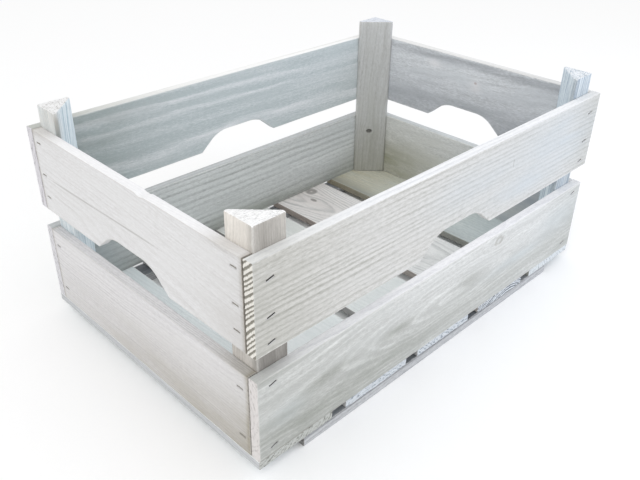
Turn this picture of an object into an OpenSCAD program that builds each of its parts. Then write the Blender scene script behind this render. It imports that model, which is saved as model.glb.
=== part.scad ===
// Wooden apple crate: four three-cornered posts, a lower and an upper board on each
// side, a slatted floor on two laths, and the wire staples that hold the pieces together.
// Millimetres, +Z up. The origin lies under the middle of the floor. X runs along the
// long sides and Y along the ends, so the front is at -Y and the left end at -X.

/* [Crate] */
// Outer length, along the long boards
crate_l = 600; // [560:1:800]
// Outer width, along the ends
crate_w = 400; // [300:1:600]

/* [Wall boards] */
// Thickness of the wall boards
board_t = 12; // [9:0.5:18]
// Height of each wall board
board_h = 103; // [90:1:140]
// Open gap between the lower and the upper boards
board_gap = 28; // [10:1:60]

/* [Floor slats] */
// Thickness of the floor slats
slat_t = 10; // [9:0.5:18]
// Width of each floor slat
slat_w = 103; // [90:1:110]

/* [Floor laths] */
// Thickness of the two laths under the slats, on which the crate stands
lath_t = 12; // [8:0.5:20]
// Width of the laths
lath_w = 30; // [26:1:60]
// From the crate's ends to the laths' ends, which clears the posts of a crate below
lath_in = 60; // [52:1:66]

/* [Corner posts] */
// Width of a post's two square faces
post_leg = 38; // [36:1:60]
// Width of the flat along a post's two sharp edges
post_flat = 4; // [1:0.5:8]
// Height of the post tops above the upper boards
post_rise = 27; // [0:1:60]

/* [Hand-holds] */
// Width of a hand-hold at the board's lower edge
grip_w = 134; // [110:1:180]
// Height of a hand-hold
grip_h = 25; // [18:1:38]
// Slope of a hand-hold's two ends, in degrees
grip_slope = 40; // [36:1:60]
// Radius at the top of a hand-hold's two ends
grip_r = 45; // [10:1:60]

/* [Staples] */
// Outer width of a staple's crown
staple_crown = 8.8; // [6:0.1:12]
// Width of the staple wire, across the crown
wire_w = 1.4; // [1:0.1:2]
// Thickness of the staple wire, along the crown
wire_t = 1.1; // [0.8:0.1:1.6]
// Depth of the crowns below the wood's surface
staple_sink = 0.6; // [0.2:0.1:2]
// Depth that the legs reach into the posts and the lower boards
staple_bite = 16; // [8:0.5:18]
// Depth that the legs in the laths reach into the slats
lath_bite = 7; // [4:0.5:8]
// Turn of the crowns on the long boards, in degrees
staple_tilt = 14; // [0:1:25]

/* [Staple places] */
// From a post's square edge to the staples in the long boards
long_staple_in = 8; // [6:0.5:12]
// From a post's square edge to the staples in the end boards
end_staple_in = 13; // [8:0.5:15]
// From a board's edge to its outer row of staples
row_edge = 11; // [9:0.5:16]
// From an upper board's lower edge to its middle row
row_middle = 40; // [36:1:44]
// From an upper board's top edge to its top row
row_top = 23; // [20:1:28]
// Rise of the end boards' rows past the long boards' rows, so that the legs miss each other
row_step = 9; // [6:0.5:10]
// Clear wood between the staples of the floor and those of the walls
floor_staple_clear = 5; // [3:0.5:8]

/* [Hidden] */
// Slats in the floor
slat_count = 5;
// Overrun of a cut past the face that it opens
cut = 1;
$fn = 96;

// Heights above the surface that the crate stands on
floor_z = lath_t;
lower_z = floor_z + slat_t;
upper_z = lower_z + board_h + board_gap;
wall_top = upper_z + board_h;
post_top = wall_top + post_rise;

// The end boards fit between the long ones, and the slats are spread evenly over the length
end_board_l = crate_w - 2 * board_t;
slat_pitch = (crate_l - slat_w) / (slat_count - 1);
lath_l = crate_l - 2 * lath_in;

// Heights of the staple rows
long_lower_rows = [lower_z + row_edge, lower_z + board_h - row_edge];
end_lower_rows = [long_lower_rows[0] + row_step, long_lower_rows[1] - row_step];
long_upper_rows = [upper_z + row_edge, upper_z + row_middle, wall_top - row_top];
end_upper_rows = [for (z = long_upper_rows) z + row_step];

// Distances of the staples from the middle of their wall, and from a slat's edges
long_staple_x = crate_l / 2 - board_t - long_staple_in;
end_staple_y = crate_w / 2 - board_t - end_staple_in;
floor_staple_y = crate_w / 2 - board_t / 2;
floor_staple_in = board_t + long_staple_in + staple_crown + floor_staple_clear;

// Staples in a lath: two in each inner slat, and one where an outer slat lies on the lath's end
lath_staple_y = crate_w / 2 - (board_t + lath_w) / 2;
lath_staple_x = concat(
    [for (number = [2 : slat_count - 1], side = [1, 3]) slat_x(number) + side * slat_w / 4],
    [for (end = [-1, 1]) end * (crate_l - lath_in - slat_w) / 2]
);

wall_wood = "#cfd1cb";
end_wood = "#d6d3cd";
post_wood = "#b3b8b1";
floor_wood = "#b9bdb4";
staple_wire = "#6f6c66";

// The back is the front turned half round, and the right end is the left end turned half round
module half_turn() {
    rotate([0, 0, 180]) children();
}

// Left edge of a slat, counted from 1 at the left end
function slat_x(number) = -crate_l / 2 + (number - 1) * slat_pitch;

// A staple with its crown along X, driven down from the surface at Z = 0 through one piece
module staple(through, bite = staple_bite) {
    crown_top = -staple_sink;
    crown_under = crown_top - wire_t;
    tip = -through - bite;
    difference() {
        translate([-staple_crown / 2, -wire_w / 2, tip])
            cube([staple_crown, wire_w, crown_top - tip]);
        translate([wire_t - staple_crown / 2, -wire_w / 2 - cut, tip - cut])
            cube([staple_crown - 2 * wire_t, wire_w + 2 * cut, crown_under - tip + cut]);
    }
}

// The slot that a driven staple leaves in the wood, open at the surface
module staple_slot(through, bite = staple_bite) {
    staple(through, bite);
    translate([-staple_crown / 2, -wire_w / 2, -staple_sink - wire_t])
        cube([staple_crown, wire_w, staple_sink + wire_t + cut]);
}

// Puts its children at each staple of the front wall, at the ends named by -1 and 1
module at_front_staples(rows, ends = [-1, 1]) {
    for (end = ends, z = rows)
        translate([end * long_staple_x, -crate_w / 2, z])
            rotate([90, 0, 0])
                rotate([0, 0, staple_tilt]) children();
}

// Puts its children at each staple of the left wall, at the ends named by -1 and 1
module at_left_staples(rows, ends = [-1, 1]) {
    for (end = ends, z = rows)
        translate([-crate_l / 2, end * end_staple_y, z])
            rotate([90, 0, -90]) children();
}

// Puts its children at each staple under one slat
module at_slat_staples(number) {
    left = slat_x(number) + floor_staple_in;
    right = slat_x(number) + slat_w - floor_staple_in;
    for (x = [left, right], y = [-floor_staple_y, floor_staple_y])
        translate([x, y, floor_z])
            rotate([180, 0, 0]) children();
}

// Puts its children at each staple under the front lath
module at_front_lath_staples() {
    for (x = lath_staple_x)
        translate([x, -lath_staple_y, 0])
            rotate([180, 0, 0]) children();
}

// The hand-hold's outline, with its straight edge along X: a trapezium with round upper corners
module grip_outline() {
    corner_x = grip_w / 2 - grip_h / tan(grip_slope);
    tangent = grip_r * tan(grip_slope / 2);
    top_x = corner_x - tangent;
    side_x = corner_x + tangent * cos(grip_slope);
    side_y = grip_h - tangent * sin(grip_slope);
    polygon([
        [-grip_w / 2, -cut], [grip_w / 2, -cut], [grip_w / 2, 0], [side_x, side_y],
        [top_x, grip_h], [-top_x, grip_h], [-side_x, side_y], [-grip_w / 2, 0]
    ]);
    for (side = [-1, 1])
        translate([side * top_x, grip_h - grip_r]) circle(r = grip_r);
}

// The cut for a hand-hold through a board that faces -Y, from the board's lower edge up
module grip_cut() {
    translate([0, -crate_w / 2 + board_t + cut, upper_z])
        rotate([90, 0, 0])
            linear_extrude(board_t + 2 * cut) grip_outline();
}

// A full-length board of the front wall, with the slots of its staples
module front_board(z, rows) {
    difference() {
        translate([-crate_l / 2, -crate_w / 2, z]) cube([crate_l, board_t, board_h]);
        at_front_staples(rows) staple_slot(board_t);
    }
}

// A board of the left wall, between the long boards, with the slots of its staples
module left_board(z, rows) {
    difference() {
        translate([-crate_l / 2, -end_board_l / 2, z]) cube([board_t, end_board_l, board_h]);
        at_left_staples(rows) staple_slot(board_t);
    }
}

// A post in the front corner at the end named by -1 or 1, on the floor and inside the boards
module front_post(end) {
    color(post_wood) difference() {
        translate([end * (crate_l / 2 - board_t), -crate_w / 2 + board_t, lower_z])
            mirror([end > 0 ? 1 : 0, 0, 0])
                linear_extrude(post_top - lower_z)
                    polygon([
                        [0, 0], [post_leg, 0], [post_leg, post_flat],
                        [post_flat, post_leg], [0, post_leg]
                    ]);
        at_front_staples(concat(long_lower_rows, long_upper_rows), [end]) staple_slot(board_t);
        rotate([0, 0, end > 0 ? 180 : 0])
            at_left_staples(concat(end_lower_rows, end_upper_rows), [end]) staple_slot(board_t);
    }
}

module front_lower_board() {
    color(wall_wood) difference() {
        front_board(lower_z, long_lower_rows);
        for (number = [1 : slat_count]) at_slat_staples(number) staple_slot(slat_t);
    }
}

module left_lower_board() {
    color(end_wood) left_board(lower_z, end_lower_rows);
}

module front_upper_board() {
    color(wall_wood) difference() {
        front_board(upper_z, long_upper_rows);
        grip_cut();
    }
}

module left_upper_board() {
    color(end_wood) difference() {
        left_board(upper_z, end_upper_rows);
        rotate([0, 0, -90])
            translate([0, (crate_w - crate_l) / 2, 0]) grip_cut();
    }
}

module floor_slat(number) {
    color(floor_wood) difference() {
        translate([slat_x(number), -crate_w / 2, floor_z]) cube([slat_w, crate_w, slat_t]);
        at_slat_staples(number) staple_slot(slat_t);
        at_front_lath_staples() staple_slot(lath_t, lath_bite);
        half_turn() at_front_lath_staples() staple_slot(lath_t, lath_bite);
    }
}

module front_lath() {
    color(floor_wood) difference() {
        translate([-lath_l / 2, -crate_w / 2, 0]) cube([lath_l, lath_w, lath_t]);
        at_front_lath_staples() staple_slot(lath_t, lath_bite);
    }
}

module front_lower_staples() {
    color(staple_wire) at_front_staples(long_lower_rows) staple(board_t);
}

module left_lower_staples() {
    color(staple_wire) at_left_staples(end_lower_rows) staple(board_t);
}

module front_upper_staples() {
    color(staple_wire) at_front_staples(long_upper_rows) staple(board_t);
}

module left_upper_staples() {
    color(staple_wire) at_left_staples(end_upper_rows) staple(board_t);
}

module floor_slat_staples(number) {
    color(staple_wire) at_slat_staples(number) staple(slat_t);
}

module front_lath_staples() {
    color(staple_wire) at_front_lath_staples() staple(lath_t, lath_bite);
}

front_post(-1);  // front_left_post
front_post(1);  // front_right_post
half_turn() front_post(1);  // back_left_post
half_turn() front_post(-1);  // back_right_post

front_lower_board();
half_turn() front_lower_board();  // back_lower_board
left_lower_board();
half_turn() left_lower_board();  // right_lower_board

front_upper_board();
half_turn() front_upper_board();  // back_upper_board
left_upper_board();
half_turn() left_upper_board();  // right_upper_board

floor_slat(1);  // floor_slat_1
floor_slat(2);  // floor_slat_2
floor_slat(3);  // floor_slat_3
floor_slat(4);  // floor_slat_4
floor_slat(5);  // floor_slat_5

front_lath();
half_turn() front_lath();  // back_lath

front_lower_staples();
half_turn() front_lower_staples();  // back_lower_staples
left_lower_staples();
half_turn() left_lower_staples();  // right_lower_staples

front_upper_staples();
half_turn() front_upper_staples();  // back_upper_staples
left_upper_staples();
half_turn() left_upper_staples();  // right_upper_staples

floor_slat_staples(1);  // floor_slat_1_staples
floor_slat_staples(2);  // floor_slat_2_staples
floor_slat_staples(3);  // floor_slat_3_staples
floor_slat_staples(4);  // floor_slat_4_staples
floor_slat_staples(5);  // floor_slat_5_staples

front_lath_staples();
half_turn() front_lath_staples();  // back_lath_staples
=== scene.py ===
"""Looks of a wooden apple crate: limed softwood boards, posts, slats and laths with sunk wire staples."""
from __future__ import annotations

import logging
import math
from dataclasses import dataclass, field
from enum import Enum

import bmesh
import bpy
from bmesh.types import BMEdge, BMesh, BMFace, BMVert
from bpy.types import Material, NodeSocket, Object
from mathutils import Matrix, Vector, noise


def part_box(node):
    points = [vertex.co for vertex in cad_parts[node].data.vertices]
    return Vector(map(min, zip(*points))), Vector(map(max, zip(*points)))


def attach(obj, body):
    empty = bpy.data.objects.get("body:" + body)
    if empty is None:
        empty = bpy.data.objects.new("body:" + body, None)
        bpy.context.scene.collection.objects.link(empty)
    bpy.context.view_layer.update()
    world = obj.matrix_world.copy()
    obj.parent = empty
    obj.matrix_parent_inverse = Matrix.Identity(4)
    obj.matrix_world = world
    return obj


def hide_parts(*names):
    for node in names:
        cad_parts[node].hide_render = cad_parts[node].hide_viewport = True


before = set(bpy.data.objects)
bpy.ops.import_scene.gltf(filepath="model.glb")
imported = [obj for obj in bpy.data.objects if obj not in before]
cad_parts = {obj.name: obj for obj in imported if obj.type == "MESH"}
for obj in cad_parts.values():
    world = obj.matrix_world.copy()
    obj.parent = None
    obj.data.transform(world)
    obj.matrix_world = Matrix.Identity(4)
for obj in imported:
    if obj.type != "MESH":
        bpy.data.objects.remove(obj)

LOG = logging.getLogger("crate")
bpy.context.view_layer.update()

# Lengths in the pieces' own frames are millimetres, and Blender's are metres
MM = 0.001
BODY = "root"

# Mesh steps along the grain, across it, and beside hand-holds and knots, and the strip at a plank's cut end
STEP_ALONG = 6.0
STEP_ACROSS = 1.6
STEP_FINE = 2.2
END_STRIP = 2.0

# Least angle of an arris that is eased, and how near to a cutting plane a point lies on it
SHARP = math.radians(50)
TOUCH = 1e-3

# Growth rings: how far good and bad years shift them, as a share of a ring, the years that this takes to
# come round, and the shares of a ring at which its late wood starts and is full
SWING = 0.18
SWING_YEARS = 5.3
LATE_START = 0.25
LATE_FULL = 0.8

# Distance from knots and marks at which the wood no longer shows them
FAR = 9.0

# Reach of a patch of lime, stains or painted shade that covers the whole of a side
WHOLE = 300.0

# Seed of the noise that bends the grain, so that every run gives the same boards
SEED = 3

# Settings that many nodes share: an eased range, and a mix of colours
EASED = {"interpolation_type": "SMOOTHSTEP"}
COLOURS = {"data_type": "RGBA"}


def linear(colour: str) -> tuple[float, float, float, float]:
    """Turns an sRGB colour to linear.

    Args:
        colour: hex colour such as "d8d6d0"

    Returns:
        linear RGBA
    """
    shares = [int(colour[i:i + 2], 16) / 255 for i in (0, 2, 4)]
    lit = [c / 12.92 if c <= 0.04045 else ((c + 0.055) / 1.055) ** 2.4 for c in shares]
    return (*lit, 1.0)


def smooth(low: float, high: float, value: float) -> float:
    """Eased rise from 0 at low to 1 at high."""
    share = min(1.0, max(0.0, (value - low) / (high - low)))
    return share * share * (3 - 2 * share)


class Slot(Enum):
    """Material slots of the record that pieces of wood take."""

    LONG_WALL = "long_wall_wood"
    END_WALL = "end_wall_wood"
    POST = "post_wood"
    FLOOR = "floor_wood"


class Surface(Enum):
    """Surfaces of a sawn piece, each with the place of its material in the mesh."""

    FACE = 0
    EDGE = 1
    END = 2


class Side(Enum):
    """The walls, each with the direction of its boards' grain and the direction that they face."""

    FRONT = ((1, 0, 0), (0, -1, 0))
    BACK = ((-1, 0, 0), (0, 1, 0))
    LEFT = ((0, -1, 0), (-1, 0, 0))
    RIGHT = ((0, 1, 0), (1, 0, 0))

    @property
    def lengthways(self) -> bool:
        """Whether the wall is a long one."""
        return self in (Side.FRONT, Side.BACK)


@dataclass(frozen=True)
class Timber:
    """The wood of one log after liming: its growth rings in mm, and its colours in sRGB hex.

    Attributes:
        name: short name for its materials
        pale: limed early wood
        dark: late wood and dirt in the grain
        tint: patches where the lime lies thin
        worn: rubbed arrises, where lime has built up
        bare: colour of the stains where lime is gone, and of painted shade drawn with the same patches
        thick: lime where it lies so thick that it hides the grain, on some timbers a grey that is painted
            shade
        edge_pale: limed early wood on the narrow edges
        edge_dark: late wood on the narrow edges
        end_pale: bands of the cross-cut ends that stand proud
        end_dark: bands of the cross-cut ends that lie back
        knot: rings and holes of knots
        mark: shakes, scratches and lines of painted shade where parts meet
        end_tear: how much the saw has torn the cut ends
        end_ring: how plainly the rings show on the cut ends
        faintest: strength of the faintest ring beside the strongest
        ring: width of a year's growth
        soft: how gently a ring's late wood ends, from 0 to 1
        contrast: strength of the growth rings
        fibre: strength of the fine streaks
        streak: strength of the broad streaks
        nap: strength of the woolly speckle left by the saw
        tint_share: strength of the patches
        relief: height of the grain's bump, in mm
    """

    name: str
    pale: str
    dark: str
    tint: str
    worn: str = "efeeeb"
    bare: str = "c9cabf"
    thick: str = "e4e9ec"
    edge_pale: str = "f8f8f7"
    edge_dark: str = "e2e2df"
    end_pale: str = "ebebea"
    end_dark: str = "c2c2bd"
    knot: str = "827e74"
    mark: str = "7d7a71"
    end_tear: float = 1.3
    end_ring: float = 0.3
    faintest: float = 0.35
    ring: float = 2.6
    soft: float = 0.5
    contrast: float = 0.4
    fibre: float = 0.5
    streak: float = 0.6
    nap: float = 1.2
    tint_share: float = 0.4
    relief: float = 0.3

    def late(self, radius: float) -> float:
        """Share of late wood, as in the materials.

        Args:
            radius: distance from the pith

        Returns:
            the share, from 0 to 1
        """
        uneven = radius + SWING * self.ring * math.sin(math.tau * radius / (SWING_YEARS * self.ring))
        phase = (uneven / self.ring) % 1.0
        return smooth(LATE_START, LATE_FULL, phase) * (1 - smooth(self.turn(), 1.0, phase))

    def turn(self) -> float:
        """Share of a ring at which its late wood starts to end."""
        return 0.95 - 0.25 * self.soft


@dataclass(frozen=True)
class Knot:
    """A knot on a piece's face, in the piece's own frame, in mm.

    Attributes:
        along: its place along the grain
        across: its place across the grain
        radius: its radius across the grain
        stretch: its length over its width
        spread: how far it pushes the grain aside
        core: radius of its pale middle, as a share of its own
        pit: depth of the hole that it has left
    """

    along: float
    across: float
    radius: float = 5.0
    stretch: float = 1.4
    spread: float = 0.85
    core: float = 0.0
    pit: float = 0.0


@dataclass(frozen=True)
class Mark:
    """A dark line on a face, such as a shake, a scratch or a line of painted shade where parts meet, in the
    piece's own frame, in mm.

    Attributes:
        along: its middle along the grain
        across: its middle across the grain
        length: its length
        turn: its turn from the grain
        faint: how much it is thinned
    """

    along: float
    across: float
    length: float
    turn: float = 0.0
    faint: float = 0.0

    # Share of its length that is of full width, and how fast the rest thins out
    FULL = 0.6
    TAPER = 3.0

    def gap(self, along: float, across: float) -> float:
        """Distance to the line, with its ends drawn out to points.

        Args:
            along: place along the grain
            across: place across the grain

        Returns:
            the distance, in mm
        """
        ahead = along - self.along
        aside = across - self.across
        run = ahead * math.cos(self.turn) + aside * math.sin(self.turn)
        off = aside * math.cos(self.turn) - ahead * math.sin(self.turn)
        past = max(0.0, abs(run) / (self.length / 2) - self.FULL)
        return abs(off) + self.TAPER * past + self.faint


@dataclass(frozen=True)
class Patch:
    """A patch with less or more lime, some standing for painted shade, in the piece's own frame, in mm.

    Attributes:
        middle: its middle along the grain, across it and into the wood
        reach: how far it spreads in each of these
        share: its strength in the middle
    """

    middle: tuple[float, float, float]
    reach: tuple[float, float, float]
    share: float

    @classmethod
    def spot(cls, along: float, across: float, length: float, width: float, share: float) -> Patch:
        """A patch that shows alike on both faces, by its middle, its reach and its strength."""
        return cls((along, across, 0), (length, width, WHOLE), share)

    @classmethod
    def band(cls, along: float, length: float, share: float) -> Patch:
        """A patch that goes right round the piece, by its middle, its reach and its strength."""
        return cls((along, 0, 0), (length, WHOLE, WHOLE), share)

    def strength(self, spot: Vector) -> float:
        """Strength at a spot."""
        gaps = [(value - middle) / reach for value, middle, reach in zip(spot, self.middle, self.reach)]
        return self.share * math.exp(-sum(gap * gap for gap in gaps))


@dataclass(frozen=True)
class Cut:
    """Where a piece lay in its log, in mm.

    Attributes:
        across: from the pith to the piece's middle, in its width
        depth: from the pith to the piece's middle, in its thickness
        lean_across: drift of the pith in its width, per mm of length
        lean_depth: drift of the pith in its thickness, per mm of length
        wander: how far the rings stray
        wave: length of one stray along the grain
        seed: sets the stray and the surface apart from other pieces
        knots: knots on its faces
        marks: dark lines on its faces
        crown: distances along the piece and the extra depth of the pith there
        patches: patches that have lost their lime, and patches of painted shade drawn the same way
        thick_lime_and_shade: patches where the lime lies thick, and patches of painted shade in the colour
            of thick lime
    """

    across: float
    depth: float
    lean_across: float = 0.0
    lean_depth: float = 0.0
    wander: float = 1.0
    wave: float = 180.0
    seed: int = 0
    knots: tuple[Knot, ...] = ()
    marks: tuple[Mark, ...] = ()
    crown: tuple[tuple[float, float], ...] = ()
    patches: tuple[Patch, ...] = ()
    thick_lime_and_shade: tuple[Patch, ...] = ()

    # Shift of the noise and length of log from one seed to the next
    SHIFT = (13.7, 5.3, 9.1)
    LOG_LENGTH = 900.0

    # A wave's length across the grain over its length along it, and the frequency and height of a finer one
    WAVE_ACROSS = 0.3
    FINER = 3.7
    LOWER = 0.35

    # How far a knot bends the grain along and across it, in its own size, and how fast its middle turns pale
    BEND_ALONG = 3.2
    BEND_ACROSS = 2.6
    CORE_FADE = 2.2

    @property
    def offset(self) -> Vector:
        """Shift of the noise for this piece."""
        return Vector([step * self.seed for step in self.SHIFT])

    def stain_and_shade_at(self, spot: Vector) -> float:
        """Lime gone, with any painted shade, at a spot on the piece."""
        return min(1.0, sum(patch.strength(spot) for patch in self.patches))

    def thickness(self, spot: Vector) -> float:
        """Excess of lime, with any painted shade drawn as thick lime, at a spot on the piece."""
        return min(1.0, sum(wash.strength(spot) for wash in self.thick_lime_and_shade))

    def sink(self, along: float) -> float:
        """Extra depth of the pith.

        Args:
            along: distance along the piece

        Returns:
            the depth, in mm
        """
        for (first, low), (last, high) in zip(self.crown, self.crown[1:]):
            if first <= along <= last:
                return low + (high - low) * smooth(first, last, along)
        return 0.0

    def figure(self, spot: Vector) -> tuple[Vector, float, float]:
        """Place in the log of a spot on the piece.

        Args:
            spot: the spot in the piece's own frame

        Returns:
            the place from the pith, the distance to the nearest knot in knot radii, and the distance to the
            nearest mark in mm
        """
        along, across, depth = spot
        near = FAR
        line = min((mark.gap(along, across) for mark in self.marks), default=FAR)
        bent = across
        for knot in self.knots:
            ahead = (along - knot.along) / (knot.radius * knot.stretch)
            aside = (across - knot.across) / knot.radius
            gap = math.hypot(ahead, aside)
            reach = math.exp(-(ahead / self.BEND_ALONG) ** 2 - (aside / self.BEND_ACROSS) ** 2)
            bent -= (across - knot.across) * knot.spread * reach
            near = min(near, gap + self.CORE_FADE * max(0.0, knot.core - gap))
        short = self.WAVE_ACROSS * self.wave
        wave = Vector((along / self.wave, across / short, depth / short))
        stray = noise.noise_vector(wave + self.offset) * self.wander
        stray += noise.noise_vector(self.FINER * wave + self.offset) * (self.LOWER * self.wander)
        place = Vector((
            along + self.LOG_LENGTH * self.seed,
            bent + self.across + self.lean_across * along + stray.y,
            depth + self.depth + self.sink(along) + self.lean_depth * along + stray.z,
        ))
        return place, near, min(FAR, line)


class Sheet:
    """A material's node tree, filled one node at a time."""

    def __init__(self, name: str) -> None:
        """Starts an empty tree.

        Args:
            name: the material's name
        """
        self.material = bpy.data.materials.new(name)
        self.material.use_nodes = True
        self.tree = self.material.node_tree
        self.tree.nodes.clear()

    def add(self, kind: str, inputs: dict, out: int | str = 0, **settings) -> NodeSocket | None:
        """A new node with its settings, its inputs linked or set.

        Args:
            kind: node type after "ShaderNode"
            inputs: socket, or value, for each input by name or number
            out: the output to hand on, by name or number
            settings: properties of the node

        Returns:
            the output, if the node has any
        """
        node = self.tree.nodes.new("ShaderNode" + kind)
        for name, value in settings.items():
            setattr(node, name, value)
        for key, value in inputs.items():
            if isinstance(value, NodeSocket):
                self.tree.links.new(value, node.inputs[key])
            else:
                node.inputs[key].default_value = value
        return node.outputs[out] if node.outputs else None

    def close(self, colour: NodeSocket, roughness: NodeSocket, height: NodeSocket, relief: float,
              **constants: float) -> Material:
        """Ends the tree in a principled shader.

        Args:
            colour: base colour
            roughness: roughness
            height: bump height, from 0 to 1
            relief: height of the bump in mm
            constants: other inputs of the shader, with _ for a space

        Returns:
            the material
        """
        bump = self.add("Bump", {"Height": height, "Strength": 1.0, "Distance": relief * MM})
        inputs = {"Base Color": colour, "Roughness": roughness, "Normal": bump}
        inputs.update({name.replace("_", " "): value for name, value in constants.items()})
        self.add("OutputMaterial", {"Surface": self.add("BsdfPrincipled", inputs)})
        return self.material


class WoodMaterials:
    """The three materials of a timber: its sawn faces, its narrow edges, and its cross-cut ends.

    Patterns are drawn in the log's own mm, which each mesh point carries. Inputs 1 to 4 of a Map Range node
    are the range that is read and the range that is given. Inputs 6 and 7 of a Mix node are its colours, and
    its output 2 is the mixed one.
    """

    # Sizes of the patterns in mm: fray of the rings, streaks, clouds of plainer grain, fibres, nap, lime,
    # pores, torn ends and their height. Fibres are 0.2 mm thick, and are drawn coarser so that they show
    FRAY = 2.5
    STREAK = 8.0
    CLOUD = 42.0
    FIBRE = 1.2
    NAP = 1.8
    LIME = 20.0
    PORE = 0.9
    TEAR = 1.8
    END_RELIEF = 0.5

    # How patterns are drawn out: fibres, streaks, nap and lime along the grain, torn ends across it
    THREADS = (0.014, 1, 1)
    STREAKS = (0.03, 1, 1)
    TUFTS = (0.3, 1, 1)
    SMEARS = (0.22, 1, 1)
    TORN = (1, 0.35, 1)

    def __init__(self, timber: Timber) -> None:
        """Makes the materials.

        Args:
            timber: their timber
        """
        self.timber = timber
        self.made = {
            Surface.FACE: self.make_face(),
            Surface.EDGE: self.make_edge(),
            Surface.END: self.make_end(),
        }

    def late_wood(self, sheet: Sheet, place: NodeSocket) -> NodeSocket:
        """Share of late wood, from the distance to the pith. Some years show more than others.

        Args:
            sheet: the material's nodes
            place: place in the log

        Returns:
            the share, from 0 to 1
        """
        add = sheet.add
        ring = self.timber.ring
        section = add("VectorMath", {0: place, 1: (0, 1, 1)}, operation="MULTIPLY")
        radius = add("VectorMath", {0: section}, "Value", operation="LENGTH")
        drawn = add("VectorMath", {0: place, 1: self.STREAKS}, operation="MULTIPLY")
        fray = add("TexNoise", {"Vector": drawn, "Scale": 1 / self.FRAY, "Detail": 3.0})
        shift = add("MapRange", {0: fray, 3: -SWING * ring, 4: SWING * ring})
        frayed = add("Math", {0: radius, 1: shift}, operation="ADD")
        turn = add("Math", {0: frayed, 1: math.tau / (SWING_YEARS * ring)}, operation="MULTIPLY")
        swing = add("Math", {0: turn}, operation="SINE")
        uneven = add("Math", {0: swing, 1: SWING * ring, 2: frayed}, operation="MULTIPLY_ADD")
        years = add("Math", {0: uneven, 1: ring}, operation="DIVIDE")
        phase = add("Math", {0: years}, operation="FRACT")
        rise = add("MapRange", {0: phase, 1: LATE_START, 2: LATE_FULL}, **EASED)
        fall = add("MapRange", {0: phase, 1: self.timber.turn(), 2: 1.0, 3: 1.0, 4: 0.0}, **EASED)
        year = add("TexNoise", {"W": frayed, "Scale": 0.7 / ring, "Detail": 1.0}, noise_dimensions="1D")
        vigour = add("MapRange", {0: year, 1: 0.3, 2: 0.7, 3: 1.2 * self.timber.faintest, 4: 1.2})
        line = add("Math", {0: rise, 1: fall}, operation="MULTIPLY")
        return add("Math", {0: line, 1: vigour}, operation="MULTIPLY")

    def fibres(self, sheet: Sheet, place: NodeSocket) -> NodeSocket:
        """Fine streaks along the grain, about 1 mm wide.

        Args:
            sheet: the material's nodes
            place: place in the log

        Returns:
            their strength, from 0 to 1
        """
        drawn = sheet.add("VectorMath", {0: place, 1: self.THREADS}, operation="MULTIPLY")
        look = {"Vector": drawn, "Scale": 1 / self.FIBRE, "Detail": 4.0, "Roughness": 0.62}
        return sheet.add("TexNoise", look)

    def nap(self, sheet: Sheet, place: NodeSocket) -> NodeSocket:
        """Woolly speckle of lifted fibres.

        Args:
            sheet: the material's nodes
            place: place in the log

        Returns:
            its strength, from 0 to 1
        """
        drawn = sheet.add("VectorMath", {0: place, 1: self.TUFTS}, operation="MULTIPLY")
        look = {"Vector": drawn, "Scale": 1 / self.NAP, "Detail": 3.0, "Roughness": 0.75}
        return sheet.add("TexNoise", look)

    def grain(self, sheet: Sheet, place: NodeSocket, late: NodeSocket,
              fibre: NodeSocket, nap: NodeSocket) -> NodeSocket:
        """Share of the dark colour in the grain.

        Args:
            sheet: the material's nodes
            place: place in the log
            late: share of late wood
            fibre: fine streaks
            nap: woolly speckle

        Returns:
            the share, from 0 to 1
        """
        add = sheet.add
        timber = self.timber
        contrast = timber.contrast
        long_drawn = add("VectorMath", {0: place, 1: self.STREAKS}, operation="MULTIPLY")
        streak = add("TexNoise", {"Vector": long_drawn, "Scale": 1 / self.STREAK, "Detail": 3.0})
        drawn = add("VectorMath", {0: place, 1: self.TUFTS}, operation="MULTIPLY")
        cloud = add("TexNoise", {"Vector": drawn, "Scale": 1 / self.CLOUD, "Detail": 3.0})
        weight = add("MapRange", {0: cloud, 1: 0.3, 2: 0.7, 3: 0.4 * contrast, 4: 1.3 * contrast}, **EASED)
        excess = add("Math", {0: late, 1: 0.3}, operation="SUBTRACT")
        lines = add("Math", {0: excess, 1: weight}, operation="MULTIPLY")
        threads = add("MapRange", {0: fibre, 3: -0.5 * timber.fibre, 4: 0.5 * timber.fibre})
        wool = add("MapRange", {0: nap, 3: -0.5 * timber.nap, 4: 0.5 * timber.nap})
        bands = add("MapRange", {0: streak, 3: 0.3 - 0.5 * timber.streak, 4: 0.3 + 0.5 * timber.streak})
        fine = add("Math", {0: threads, 1: wool}, operation="ADD")
        broad = add("Math", {0: lines, 1: bands}, operation="ADD")
        return add("Math", {0: fine, 1: broad}, operation="ADD", use_clamp=True)

    def make_face(self) -> Material:
        """Limed softwood, band-sawn: a pale wash over grey lines of late wood, matt and woolly.

        Returns:
            the material
        """
        timber = self.timber
        sheet = Sheet(f"limed_softwood_{timber.name}_face")
        add = sheet.add
        place = add("Attribute", {}, "Vector", attribute_name="log")
        late = self.late_wood(sheet, place)
        fibre = self.fibres(sheet, place)
        nap = self.nap(sheet, place)
        tone = self.grain(sheet, place, late, fibre, nap)
        wood = add("Mix", {0: tone, 6: linear(timber.pale), 7: linear(timber.dark)}, 2, **COLOURS)
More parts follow.
